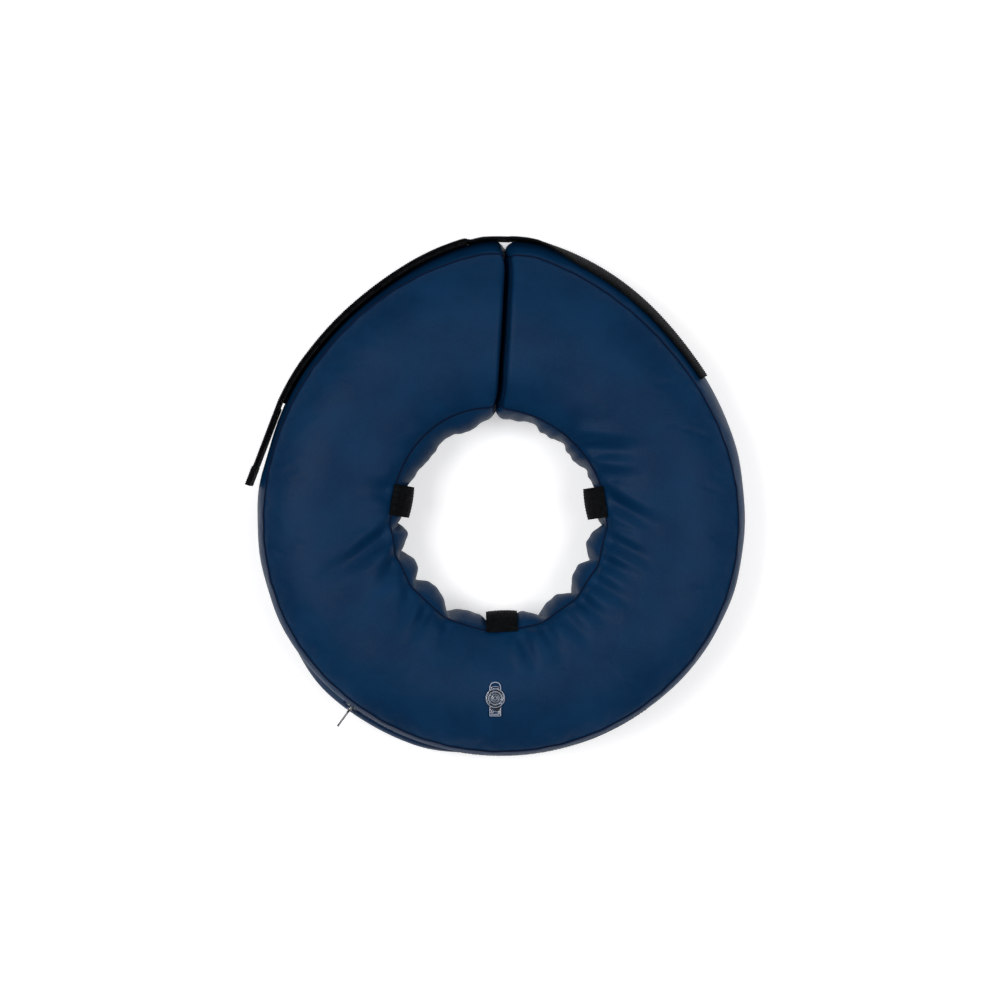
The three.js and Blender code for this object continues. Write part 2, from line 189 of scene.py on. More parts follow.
def smooth(x, a, b):
    t = ramp(x, a, b)
    return t * t * (3 - 2 * t)


def mix(a, b, t):
    return a + (b - a) * t


def bump(x, middle, width):
    return np.exp(-(((x - middle) / width) ** 2))


def wave(u, turns, start=0.0):
    """A sine with so many turns in 360 degrees of u."""
    return np.sin(np.radians(turns * u + start))


def dome(t, power, edge):
    """A crowned profile over 0..1, 0 at both seams and 1 at the middle."""
    return (1 - np.abs(2 * t - 1) ** power) ** edge


# ---- The ring's cross-section ----


def neck_radius(u):
    """The neck ellipse's distance from the ring's centre at u."""
    angle = np.radians(270 + u)
    c = np.cos(angle) / NECK["a"]
    s = np.sin(angle) / NECK["b"]
    half = -c * NECK["x"] / NECK["a"] - s * NECK["y"] / NECK["b"]
    rest = (NECK["x"] / NECK["a"]) ** 2 + (NECK["y"] / NECK["b"]) ** 2 - 1
    square = c * c + s * s
    return (-half + np.sqrt(half * half - square * rest)) / square


def uneven(u):
    """The wall's unevenness at u, rounded off between its stops."""
    stops = np.linspace(-180, 180, len(UNEVEN))
    return sum(np.interp(u + d, stops, UNEVEN) for d in (-6, -3, 0, 3, 6)) / 5


def radii(u):
    """Radii at u of the top outer seam, the bottom outer seam and the neck seams."""
    a = np.abs(u)
    peak = ramp(a, *PEAK_U) ** PEAK_POWER
    seam = SEAM_RADIUS - SEAM_WAIST * smooth(a, *SEAM_WAIST_U) + SEAM_PEAK * peak
    wall = WALL_RADIUS - RAIL_Y * np.cos(np.radians(u))
    wall = wall - WALL_WAIST * smooth(a, *WALL_WAIST_U) + WALL_PEAK * peak
    return seam, 2 * (wall - WALL_BULGE) - seam, neck_radius(u)


def lobes(u):
    """0 at each cusp of the neck band and 1 at the middle of each lobe."""
    return np.abs(np.sin(np.pi * np.interp(u, CUSPS, np.arange(len(CUSPS)))))


def scallops(u, t):
    """How much more the gathered neck band stands in at u, and how far a loop or an end holds it back."""
    crinkle = 1.1 * wave(u, 33, 160 * t) + 0.8 * wave(u, 51, -210 * t)
    lower = 8.2 * lobes(u + 6 * (t - 0.5)) ** 0.72 - 4.9 + 1.3 * wave(u, 7.3, 40) + 0.35 * crinkle
    upper_left = 4.6 + 1.6 * wave(u, 11, 60 * t) + 0.2 * crinkle
    upper_right = -1.8 + 1.8 * wave(u, 15, 50 * t) + 0.5 * crinkle
    upper = np.where(u < 0, upper_left, upper_right)
    a = np.abs(u)
    held = 1 - 0.8 * bump(a, 94, 10) - 0.35 * bump(u, 0.5, 9) - 0.5 * bump(a, 184, 12)
    return mix(lower, upper, smooth(a, 84, 100)), held


def outer_bulge(u, t, z):
    """How far the outer band stands out beyond the straight line between its seams."""
    off_zip = np.abs(u - ZIP_MIDDLE_U)
    by_zip = 1 - smooth(off_zip, 39, 72)
    own = 1 - by_zip * smooth(z, 33, 44)  # the cloth at the zip keeps to the zip's round
    bulge = WALL_BULGE * dome(t, 2, 0.9) + uneven(u) * own * dome(t, 2, 0.7)
    bulge = bulge + ZIP_PROUD * by_zip * dome(t, 4, 1)
    below = smooth(u, -62, -42) * (1 - smooth(u, -20, 0)) + 0.35 * bump(u, 22, 16)
    return bulge + LOWER_BELLY * below * np.sin(np.pi * ramp(z, LOW_SEAM_Z, 44)) ** 0.8


def section(u, panel, t):
    """Radius and height at u of the point t of the way across a panel, before its folds."""
    seam, low_seam, neck = radii(u)
    neck = neck + SEAM_WOBBLE * (0.6 - lobes(u)) * (1 - smooth(np.abs(u), 80, 92))
    if panel == "top":
        return mix(seam, neck, t), HIGH_SEAM_Z + CROWN * dome(t, *CROWN_SHAPE)
    if panel == "neck":
        more, held = scallops(u, t)
        return neck - (NECK_BULGE + more) * held * dome(t, 2, 0.85), mix(HIGH_SEAM_Z, LOW_SEAM_Z, t)
    if panel == "bottom":
        return mix(neck, low_seam, t), LOW_SEAM_Z * (1 - np.minimum(1, 1.04 * dome(t, 3, 0.66)))
    z = mix(LOW_SEAM_Z, HIGH_SEAM_Z, t)
    return mix(low_seam, seam, t) + outer_bulge(u, t, z), z


def place(r, z, u):
    """Where the ring's own radius, height and u are in the frame, in metres."""
    lean = smooth(np.abs(u), 90, 180)
    angle = np.radians(270 + u - GAP_LEAN * lean)
    x = r * np.cos(angle) - GAP_SHIFT * lean + RING_CENTRE[0]
    y = r * np.sin(angle) + RING_CENTRE[1]
    return np.stack([x, y, z + 0 * x], -1) * MM


def own_u(s):
    """u of a place on the strap, whose s runs on past 180 into the left side."""
    return np.where(s > 180, s - 360.0, s)


def wall_radius(s, z):
    r, _ = section(own_u(s), "outer", (z - LOW_SEAM_Z) / (HIGH_SEAM_Z - LOW_SEAM_Z))
    return r


def on_wall(s, z, offset):
    """A point of the outer wall, in metres, lifted from it by an offset."""
    return place(wall_radius(s, z) + offset, z, own_u(s))


# ---- Folds and unevenness ----


def folds(x, y):
    """How deep the top panel is folded at a point about the ring's centre."""
    depth = np.zeros_like(x)
    for angle_in, radius_in, angle_out, radius_out, deep, wide in FOLDS:
        start = radius_in * np.array([math.cos(math.radians(angle_in)), math.sin(math.radians(angle_in))])
        end = radius_out * np.array([math.cos(math.radians(angle_out)), math.sin(math.radians(angle_out))])
        run = end - start
        length = np.hypot(*run)
        share = ((x - start[0]) * run[0] + (y - start[1]) * run[1]) / length**2
        across = np.abs((x - start[0]) * run[1] - (y - start[1]) * run[0]) / length / wide
        fade = smooth(share, -0.25, 0.15) * (1 - smooth(share, 0.25, 1.1))
        shoulder = 0.4 * bump(across, 1.5, 0.8)
        depth += FOLD_STRENGTH * deep * fade * (np.exp(-across * across) - shoulder)
    return depth


def swells(x, y, z):
    """Slow unevenness of a blown-up skin, from -1 to 1."""
    long = np.sin(0.061 * x + 0.7 * np.sin(0.034 * y)) * np.sin(0.055 * y + 1.3)
    short = np.sin(0.103 * y - 0.05 * z + 2.1) * np.sin(0.088 * x + 0.4)
    return 0.65 * long + 0.35 * short


def pucker(u):
    """The small drawn-in waves beside an outer seam."""
    return wave(u, 41) + 0.7 * wave(u, 67, 50)


def gather(u, t):
    """The gathers beside a neck seam."""
    return wave(u, 18, 60 * t) + 0.8 * wave(u, 29, 20)


def zip_opening(u):
    """1 between the zip's two ends and 0 beyond them."""
    start = smooth(u, ZIP_U[0] - 0.2, ZIP_U[0] + 0.1)
    return start * (1 - smooth(u, ZIP_U[1] - 0.1, ZIP_U[1] + 0.2))


def relief(panel, t, u, x, y, z):
    """How far a row of the skin is drawn in by folds, gathers, seams and the zip's recess."""
    swell = swells(x, y, z) * smooth(min(t, 1 - t), 0.0, 0.16)
    if panel == "top":
        drawn = folds(x, y) * smooth(1 - t, 0.0, 0.05)
        drawn = drawn + 0.22 * pucker(u) * bump(t, 0.04, 0.05)
        drawn = drawn + 0.32 * gather(u, t) * smooth(np.abs(u), 178, 150) * bump(t, 0.93, 0.07)
        return drawn - swell
    if panel == "outer":
        drawn = 0.25 * pucker(u) * (bump(t, 0.95, 0.08) + bump(t, 0.05, 0.08))
        if ZIP_EDGES[0] < t < ZIP_EDGES[1]:
            drawn = drawn + (ZIP_RECESS + ZIP_PROUD) * zip_opening(u)
        off_zip = smooth(np.abs(u - ZIP_MIDDLE_U), 39, 60)
        off_strap = 1 - 0.9 * smooth(np.abs(u), 100, 114)
        return drawn - swell * off_zip * off_strap
    if panel == "bottom":
        return 0.35 * gather(u, t) * bump(t, 0.07, 0.06) - 0.3 * swell
    return -swell


# ---- The jacket, one skin round the whole ring ----

ROWS = {"top": 34, "neck": 20, "bottom": 20, "outer": 22}
ZIP_EDGES = [(ZIP_Z + side * ZIP_HALF_WINDOW - LOW_SEAM_Z) / (HIGH_SEAM_Z - LOW_SEAM_Z) for side in (-1, 1)]


def panel_steps(panel):
    """Where the skin's rows cross a panel, closer together near its seams and doubled at the zip's edges."""
    t = np.linspace(0, 1, ROWS[panel] + 1)[:-1]
    t = t - 0.42 / (2 * math.pi) * np.sin(2 * math.pi * t)
    if panel == "outer":
        edges = [e + d for e in ZIP_EDGES for d in (-0.012, 0.012)]
        t = np.array(sorted([v for v in t if min(abs(v - e) for e in ZIP_EDGES) > 0.03] + edges))
    return t


def loop_rows():
    """[(panel, t)] once round the cross-section."""
    return [(panel, t) for panel in ROWS for t in panel_steps(panel)]


def panel_rows(panel):
    """The rows of a panel, its far seam's row included."""
    names = [name for name, _ in loop_rows()]
    first = names.index(panel)
    return [(first + i) % len(names) for i in range(names.count(panel) + 1)]


def columns():
    """(side, degrees from the end) of each column, from the left end round to the right one."""
    near = [1.3, 1.45, 1.75, 2.15, 2.9, 3.7, 4.6, 5.8, 7.0, 8.2]
    far = list(np.linspace(9.2, 180, 190))
    left_zip, right_zip = ([180 - abs(u) + d for d in (-0.15, 0.15)] for u in ZIP_U)
    left = sorted(near + far + left_zip)
    right = sorted(near + far[:-1] + right_zip)
    return [(-1, v) for v in left] + [(1, v) for v in reversed(right)]


def end_lean(z):
    """How far, in metres, the ring's ends belly to the left at a height."""
    return END_BELLY * MM * np.sin(np.pi * ramp(z, 14, 76))


def skin_section(rows, cols):
    """Radius, height and u of each point of the skin, and its distance along the ring from its end."""
    shape = (len(cols), len(rows))
    radius, height, us, arcs = (np.zeros(shape) for _ in range(4))
    side = np.array([s for s, _ in cols], float)
    far = np.array([v for _, v in cols])
    for k, (panel, t) in enumerate(rows):
        guess = side * (180 - far)
        for _ in range(2):
            r, z = section(guess, panel, t)
            from_end = far * mix(140 / r, 1, smooth(far, 0, 20))  # the gap is as wide at every radius
            guess = side * (180 - from_end)
        radius[:, k], height[:, k], us[:, k] = r, z, guess
        arcs[:, k] = np.radians(from_end) * r
        if panel in ("outer", "neck"):
            closer = END_CLOSER * smooth(min(t, 1 - t), 0.0, 0.25) * (1 - smooth(arcs[:, k], 0, 30))
            arcs[:, k] -= closer
            us[:, k] += side * np.degrees(closer / r)
    return radius, height, us, arcs


def section_normals(radius, height):
    """The cross-section's unit normals, out of the ring's tube."""
    dr = np.roll(radius, -1, 1) - np.roll(radius, 1, 1)
    dz = np.roll(height, -1, 1) - np.roll(height, 1, 1)
    length = np.hypot(dr, dz)
    out_r, out_z = -dz / length, dr / length
    turn = np.sign(np.sum(out_z[:, : ROWS["top"]], 1))[:, None]
    return out_r * turn, out_z * turn


def end_pull(rows, arcs):
    """How far the skin is drawn in where it rounds into the ring's ends."""
    on_wall_share = [smooth(min(t, 1 - t), 0.0, 0.2) if panel == "outer" else 0.0 for panel, t in rows]
    rounding = mix(*END_ROUNDING, np.array(on_wall_share))[None, :]
    first = np.minimum(arcs[0], arcs[-1])[None, :]
    short = np.clip(rounding - (arcs - first), 0, rounding)
    return 0.9 * (rounding - np.sqrt(rounding**2 - short**2))


def skin_grid():
    """The jacket's skin as columns x rows of points, in metres, and each point's own u."""
    rows = loop_rows()
    radius, height, us, arcs = skin_section(rows, columns())
    out_r, out_z = section_normals(radius, height)
    plan = place(radius, height, us)
    x = plan[..., 0] / MM - RING_CENTRE[0]
    y = plan[..., 1] / MM - RING_CENTRE[1]
    pull = end_pull(rows, arcs)
    for k, (panel, t) in enumerate(rows):
        pull[:, k] += relief(panel, t, us[:, k], x[:, k], y[:, k], height[:, k])
    points = place(radius - out_r * pull, height - out_z * pull, us)
    points -= END_WAY * (end_lean(height) * (1 - smooth(arcs, 0, 30)))[..., None]
    away = np.hypot(x - VALVE[0], y - VALVE[1])
    seat = (1 - smooth(away, *VALVE_SEAT)) * (height > HIGH_SEAM_Z)
    points[..., 2] = mix(points[..., 2], (VALVE_SEAT_Z - 0.3) * MM, seat)
    points[..., 2] = np.maximum(points[..., 2], 0.0)
    return points, us


# ---- Meshes ----


def mesh_object(name, points, faces, material=None, shade=True):
    mesh = bpy.data.meshes.new(name)
    mesh.from_pydata([tuple(p) for p in points], [], faces)
    mesh.update()
    mesh.polygons.foreach_set("use_smooth", [shade] * len(mesh.polygons))
    obj = bpy.data.objects.new(name, mesh)
    bpy.context.collection.objects.link(obj)
    if material:
        mesh.materials.append(material)
    return obj


def solid_object(name, solid, material):
    """An object from a bmesh."""
    mesh = bpy.data.meshes.new(name)
    solid.to_mesh(mesh)
    solid.free()
    mesh.materials.append(material)
    obj = bpy.data.objects.new(name, mesh)
    bpy.context.collection.objects.link(obj)
    return obj


def attach(obj, slot, body, *replaced):
    """Gives an object its body and hides the CAD nodes it stands for; its slot is not used."""
    if replaced:
        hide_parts(*replaced)
    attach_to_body(obj, body)


def grid_faces(cols, rows, closed=False):
    """Faces between neighbouring columns, whose last row meets the first one if they are closed."""
    spans = rows if closed else rows - 1
    return [
        (c * rows + r, (c + 1) * rows + r, (c + 1) * rows + (r + 1) % rows, c * rows + (r + 1) % rows)
        for c in range(cols - 1)
        for r in range(spans)
    ]


def bar_faces(cols, rows):
    """Faces of a closed bar with both its ends."""
    faces = grid_faces(cols, rows, True)
    return faces + [tuple(range(rows)), tuple((cols - 1) * rows + i for i in reversed(range(rows)))]


def tube(path, radius, sides=6):
    """Points and faces of a round tube along a path, in metres."""
    path = np.asarray(path)
    along = np.gradient(path, axis=0)
    along = along / np.linalg.norm(along, axis=1, keepdims=True)
    side = np.cross(along, np.array([0, 0, 1.0]))
    lean = np.linalg.norm(side, axis=1, keepdims=True)
    side = np.where(lean > 1e-3, side / np.maximum(lean, 1e-9), np.array([1.0, 0, 0]))
    top = np.cross(side, along)
    angles = np.linspace(0, 2 * math.pi, sides, endpoint=False)
    rings = [path + radius * (math.cos(a) * side + math.sin(a) * top) for a in angles]
    return np.stack(rings, 1).reshape(-1, 3), bar_faces(len(path), sides)


def join_parts(name, parts, material):
    """One object from several (points, faces)."""
    all_points, all_faces, base = [], [], 0
    for points, faces in parts:
        all_points.append(points)
        all_faces += [tuple(i + base for i in face) for face in faces]
        base += len(points)
    return mesh_object(name, np.concatenate(all_points), all_faces, material)


def lengths(path):
    """How far each point of a path lies from its start."""
    return np.concatenate([[0], np.cumsum(np.linalg.norm(np.diff(path, axis=0), axis=1))])


def resampled(path, step):
    """Points a step apart along a path."""
    path = np.asarray(path)
    far = lengths(path)
    stops = np.arange(0, far[-1], step)
    return np.stack([np.interp(stops, far, path[:, k]) for k in range(3)], 1)


def rounded(path, times):
    """A path with its corners rounded off."""
    for _ in range(times):
        path[1:-1] = (path[:-2] + 2 * path[1:-1] + path[2:]) / 4
    return path


# ---- Materials ----


def settle(node, values):
    """Sets a node's input sockets."""
    for name, value in values.items():
        node.inputs[name].default_value = value


def nodes_of(name):
    """A new material, its node tree and its main shader."""
    material = bpy.data.materials.new(name)
    material.use_nodes = True
    return material, material.node_tree, material.node_tree.nodes["Principled BSDF"]


def texture(tree, kind, **values):
    """A texture over the object's own coordinates."""
    node = tree.nodes.new("ShaderNodeTex" + kind)
    settle(node, values)
    here = tree.nodes.new("ShaderNodeTexCoord")
    tree.links.new(here.outputs["Object"], node.inputs["Vector"])
    return node


def colour_from(tree, shader, fac, *stops):
    """Base colour between (share, colour) stops."""
    node = tree.nodes.new("ShaderNodeValToRGB")
    elements = node.color_ramp.elements
    while len(elements) < len(stops):
        elements.new(0.5)
    for element, (share, colour) in zip(elements, stops):
        element.position = share
        element.color = (*colour, 1)
    tree.links.new(fac, node.inputs["Fac"])
    tree.links.new(node.outputs["Color"], shader.inputs["Base Color"])


def bump_from(tree, shader, *layers):
    """Bump from (height socket, distance in metres, strength) layers, each on top of the one before."""
    before = None
    for height, distance, strength in layers:
        node = tree.nodes.new("ShaderNodeBump")
        settle(node, {"Strength": strength, "Distance": distance})
        tree.links.new(height, node.inputs["Height"])
        if before:
            tree.links.new(before, node.inputs["Normal"])
        before = node.outputs["Normal"]
    tree.links.new(before, shader.inputs["Normal"])


def fabric_material(name, dark, middle, light, roughness):
    """Coated cloth: fine pebbled grain over a woven base, uneven in tone and gloss."""
    material, tree, shader = nodes_of(name)
    mottled = texture(tree, "Noise", Scale=22.0, Detail=5.0, Roughness=0.6).outputs["Fac"]
    colour_from(tree, shader, mottled, (0.3, dark), (0.5, middle), (0.72, light))
    gloss = tree.nodes.new("ShaderNodeMapRange")
    settle(gloss, {"From Min": 0.3, "From Max": 0.7, "To Min": roughness - 0.05, "To Max": roughness + 0.06})
    tree.links.new(mottled, gloss.inputs["Value"])
    tree.links.new(gloss.outputs["Result"], shader.inputs["Roughness"])
    soft = texture(tree, "Noise", Scale=75.0, Detail=3.0).outputs["Fac"]
    weave = texture(tree, "Wave", Scale=330.0, Distortion=0.4).outputs["Fac"]
    pebbles = texture(tree, "Voronoi", Scale=1150.0).outputs["Distance"]
    bump_from(tree, shader, (soft, 0.0012, 0.35), (weave, 0.00012, 0.25), (pebbles, 0.00025, 0.4))
    settle(shader, {"Specular IOR Level": 0.066})
    return material


def webbing_material(name, dark, light, pitch):
    """Woven polyester: a fine twill of a pitch in millimetres, and fuzz."""
    material, tree, shader = nodes_of(name)
    spread = texture(tree, "Noise", Scale=260.0, Detail=4.0).outputs["Fac"]
    colour_from(tree, shader, spread, (0.35, dark), (0.68, light))
    twill = texture(tree, "Wave", Scale=0.5 / (pitch * 0.3 * MM), Distortion=1.5)
    twill.bands_direction = "DIAGONAL"
    fuzz = texture(tree, "Noise", Scale=2600.0, Detail=2.0).outputs["Fac"]
    bump_from(tree, shader, (twill.outputs["Fac"], 0.0003, 0.6), (fuzz, 0.0002, 0.4))
    settle(shader, {"Roughness": 0.72, "Specular IOR Level": 0.07})
    return material


def plastic_material(name, dark, light, roughness, scale=300.0):
    """Dull plastic or thread, cloudy at a noise scale."""
    material, tree, shader = nodes_of(name)
    cloudy = texture(tree, "Noise", Scale=scale, Detail=3.0).outputs["Fac"]
    colour_from(tree, shader, cloudy, (0.35, dark), (0.65, light))
    bump_from(tree, shader, (cloudy, 0.0001, 0.2))
    settle(shader, {"Roughness": roughness, "Specular IOR Level": 0.075})
    return material


def metal_material(name, dark, light):
    """Scuffed metal."""
    material, tree, shader = nodes_of(name)
    scuffs = texture(tree, "Noise", Scale=900.0, Detail=6.0, Roughness=0.7).outputs["Fac"]
    colour_from(tree, shader, scuffs, (0.3, dark), (0.7, light))
    bump_from(tree, shader, (scuffs, 0.00008, 0.4))
    settle(shader, {"Metallic": 0.95, "Roughness": 0.36})
    return material


def clear_material(name, tint, transmission):
    """Soft clear vinyl with small flaws that catch the light."""
    material, tree, shader = nodes_of(name)
    cloudy = texture(tree, "Noise", Scale=420.0, Detail=4.0).outputs["Fac"]
    pale = tuple(min(1.0, c * 1.08) for c in tint)
    colour_from(tree, shader, cloudy, (0.35, tint), (0.65, pale))
    bump_from(tree, shader, (cloudy, 0.0003, 0.35))
    settle(shader, {"Roughness": 0.1, "IOR": 1.4, "Transmission Weight": transmission})
    return material


NAVY_TONES = [(0.0006, 0.0165, 0.0525), (0.0010, 0.0205, 0.0625), (0.0018, 0.0250, 0.0740)]
NAVY = fabric_material("jacket_coated_cloth", *NAVY_TONES, 0.43)
# The seam cords are far darker than the cloth: painted shade of the valleys along the seams.
SEAM_SHADE_CORD = plastic_material("seam_painted_shade_cord", (0.0006, 0.0030, 0.0140), (0.0012, 0.0055, 0.0240), 0.7, 900.0)
THREAD = plastic_material("seam_thread", (0.0030, 0.0080, 0.0300), (0.0060, 0.0150, 0.0480), 0.6, 1500.0)
BLACK_WEB = webbing_material("black_webbing", (0.0007, 0.0009, 0.0013), (0.0036, 0.0042, 0.0055), 1.7)
HOOKS = webbing_material("hook_and_loop_pile", (0.0020, 0.0022, 0.0030), (0.0100, 0.0105, 0.0120), 1.0)
ZIP_TAPE = webbing_material("zip_tape_weave", (0.0050, 0.0150, 0.0480), (0.0120, 0.0300, 0.0850), 1.2)
ZIP_COIL = plastic_material("zip_coil_nylon", (0.0050, 0.0130, 0.0400), (0.0100, 0.0240, 0.0660), 0.42)
METAL = metal_material("zip_painted_metal", (0.10, 0.10, 0.11), (0.26, 0.26, 0.28))
CLEAR = clear_material("clear_vinyl", (0.86, 0.91, 1.0), 1.0)
CLEAR_EDGE = clear_material("clear_vinyl_edges", (0.42, 0.47, 0.60), 0.25)
FILM = clear_material("bladder_vinyl_film", (0.16, 0.20, 0.28), 0.55)


# ---- The air ----

END_SHARES = (0.97, 0.92, 0.84, 0.72, 0.56, 0.38, 0.18, 0.0)


def end_rings(points):
    """The end panel's own points: rings from its seam inwards, and its middle point."""
    edge, inner = points[0], points[1]
    upright_edge = edge + END_WAY * end_lean(edge[:, 2:] / MM)
    middle = upright_edge.mean(0)
    out = edge.mean(0) - inner.mean(0)
    out = out / np.linalg.norm(out)
    rings = []
    for share in END_SHARES:
        ring = mix(middle, upright_edge, share) + out * END_PROUD * MM * (1 - share**5)
        rings.append(ring - END_WAY * end_lean(ring[:, 2:] / MM))
    return rings[:-1], rings[-1][0]


def closed_form(points):
    """The whole skin with both its ends, as one closed mesh."""
    n_cols, n_rows = points.shape[:2]
    flat = [points.reshape(-1, 3)]
    faces = grid_faces(n_cols, n_rows, True)
    for first, end in ((0, points[:2]), ((n_cols - 1) * n_rows, points[::-1][:2])):
        rings, middle = end_rings(end)
        base = sum(len(block) for block in flat)
        flat.append(np.concatenate([*rings, [middle]]))
        loops = [first] + [base + i * n_rows for i in range(len(rings))]
        cap = []
        for a, b in zip(loops, loops[1:]):
            cap += [(a + k, a + (k + 1) % n_rows, b + (k + 1) % n_rows, b + k) for k in range(n_rows)]
        tip = base + len(flat[-1]) - 1
        cap += [(loops[-1] + k, loops[-1] + (k + 1) % n_rows, tip) for k in range(n_rows)]
        faces += cap if first else [tuple(reversed(face)) for face in cap]
    return mesh_object("jacket_form", np.concatenate(flat), faces)


def pin_seams(form, n_cols, n_rows):
    """Holds the cloth at its seams and ends, and less firmly over the outer band."""
    held = np.zeros((n_cols, n_rows))
    for k, (panel, t) in enumerate(loop_rows()):
        held[:, k] = 1.0 if t == 0 else 0.6 if panel == "outer" else 0.0
    held[:3] = held[-3:] = 1
    pins = form.vertex_groups.new(name="seams")
    for weight in (0.6, 1.0):
        pins.add([int(i) for i in np.flatnonzero(held.ravel() == weight)], weight, "REPLACE")
    pins.add(list(range(n_cols * n_rows, len(form.data.vertices))), 1.0, "REPLACE")


def gather_neck(form, us):
    """Marks where the cloth is cut too large: at the neck, and less so towards the closure."""
    n_cols, n_rows = us.shape
    full = form.vertex_groups.new(name="gathered")
    for k, (panel, t) in enumerate(loop_rows()):
        near = {"top": smooth(t, 0.62, 0.95), "neck": 1.0, "bottom": 1 - smooth(t, 0.05, 0.38), "outer": 0.25}
        for c in range(n_cols):
            calm = 0.25 if abs(us[c, k]) > 110 else 1.0
            full.add([c * n_rows + k], round(float(near[panel]) * calm, 2), "REPLACE")


def blow_up(form):
    """The form's points after air pressure has worked on its cloth."""
    cloth = form.modifiers.new("air", "CLOTH")
    fabric = cloth.settings
    fabric.quality = 4
    fabric.mass = 0.25
    fabric.tension_stiffness = fabric.compression_stiffness = 20
    fabric.shear_stiffness = 8
    fabric.bending_stiffness = 0.6
    fabric.vertex_group_mass = "seams"
    fabric.vertex_group_shrink = "gathered"
    fabric.shrink_min = 0.0
    fabric.shrink_max = -GATHER
    fabric.use_pressure = True
    fabric.uniform_pressure_force = AIR_PRESSURE
    fabric.effector_weights.gravity = 0
    cloth.collision_settings.use_collision = False
    cloth.collision_settings.use_self_collision = False
    cloth.point_cache.frame_start = 1
    cloth.point_cache.frame_end = AIR_STEPS
    scene = bpy.context.scene
    for step in range(1, AIR_STEPS + 1):
        scene.frame_set(step)
    shaped = form.evaluated_get(bpy.context.evaluated_depsgraph_get()).data
    found = np.array([v.co[:] for v in shaped.vertices])
    scene.frame_set(1)
    bpy.data.objects.remove(form)
    return found


def inflate(points, us):
    """The skin as sewn: the cloth is cut a little large, held at its seams and blown up by air."""
    n_cols, n_rows = us.shape
    form = closed_form(points)
    pin_seams(form, n_cols, n_rows)
    gather_neck(form, us)
    moved = blow_up(form)[: n_cols * n_rows].reshape(points.shape) - points
    length = np.linalg.norm(moved, axis=-1, keepdims=True)
    blown = points + moved * np.minimum(1, AIR_REACH * MM / np.maximum(length, 1e-9))
    blown[..., 2] = np.maximum(blown[..., 2], 0.0)
    return blown


# ---- Jacket, bladder and seams ----

PANEL_NODES = {"top": "top_panel", "neck": "neck_band", "bottom": "bottom_panel", "outer": "outer_band"}
SEAM_ROWS = {"top_outer": "top", "top_neck": "neck", "bottom_neck": "bottom", "bottom_outer": "outer"}


def meeting_column(us):
    """The column where the left and the right half meet."""
    return int(np.argmin(np.abs(us[:, 0] - HALVES_MEET_U)))


def halves(us):
    """[(side, columns)] of both halves, which share the column where they meet."""
    cut = meeting_column(us)
    return [("left", slice(0, cut + 1)), ("right", slice(cut, None))]


def ride_between(obj):
    """Bakes the half's placement into its mesh."""
    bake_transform(obj)


def unit(vectors):
    return vectors / np.maximum(np.linalg.norm(vectors, axis=-1, keepdims=True), 1e-12)


def panel_normals(points, panel):
    """A panel's own smooth normals over the whole ring, from the grid itself."""
    block = points[:, panel_rows(panel)]
    return unit(np.cross(np.gradient(block, axis=0), np.gradient(block, axis=1)))


def open_for_valve(flat, faces):
    """The faces outside the valve's hole, with the points at its edge moved onto its round."""
    centre = (np.array(VALVE) + RING_CENTRE) * MM
    away = np.hypot(*(flat[:, :2] - centre).T)
    near = away < VALVE_HOLE * MM
    kept = [face for face in faces if not all(near[i] for i in face)]
    for i in sorted({i for face in kept for i in face if near[i]}):
        flat[i, :2] = centre + (flat[i, :2] - centre) / away[i] * VALVE_HOLE * MM
    return kept


def make_panels(points, us):
    """Each panel's left and right part, cut from the one skin so that both sides of a cut match."""
    for panel, node in PANEL_NODES.items():
        normals = panel_normals(points, panel)
        for side, part in halves(us):
            block = points[part][:, panel_rows(panel)]
            flat = block.reshape(-1, 3)
            faces = grid_faces(*block.shape[:2])
            if panel == "top":
                faces = open_for_valve(flat, faces)
            cloth = mesh_object(f"jacket_{panel}_panel_{side}", flat, faces, NAVY)
            own_normals = [Vector(n) for n in normals[part].reshape(-1, 3)]
            cloth.data.normals_split_custom_set_from_vertices(own_normals)
            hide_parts(f"{node}_{side}", f"{node}_lower")
            ride_between(cloth)


def make_end_panels(points):
    """The two panels that meet at the closure gap."""
    for side, end in (("left", points[:2]), ("right", points[::-1][:2])):
        rings, middle = end_rings(end)
        flat = np.concatenate([end[0], *rings, [middle]])
        count = len(end[0])
        last = len(rings) * count
        faces = grid_faces(len(rings) + 1, count, True)
        faces += [(last + i, len(flat) - 1, last + (i + 1) % count) for i in range(count)]
        if side == "left":
            faces = [tuple(reversed(face)) for face in faces]
        panel = mesh_object(f"jacket_end_panel_{side}", flat, faces, NAVY)
        attach(panel, "jacket_fabric", f"{side}_arm", f"end_panel_{side}")


def make_bladder(points, us):
    """The film bag inside the jacket, closed at both ends of the ring."""
    along = np.gradient(points, axis=0)
    across = np.roll(points, -1, 1) - np.roll(points, 1, 1)
    inside = points - unit(np.cross(along, across)) * FILM_DEPTH * MM
    cut = meeting_column(us)
    for side, part in (("left", inside[4 : cut + 1 : 2]), ("right", inside[cut:-4:2])):
        part = part[:, ::3]
        n_cols, n_rows = part.shape[:2]
        end = 0 if side == "left" else n_cols - 1
        faces = grid_faces(n_cols, n_rows, True)
        faces.append(tuple(end * n_rows + i for i in range(n_rows)))
        film = mesh_object(f"air_bladder_{side}", part.reshape(-1, 3), faces, FILM)
        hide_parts(f"bladder_{side}", "bladder_lower")
        ride_between(film)


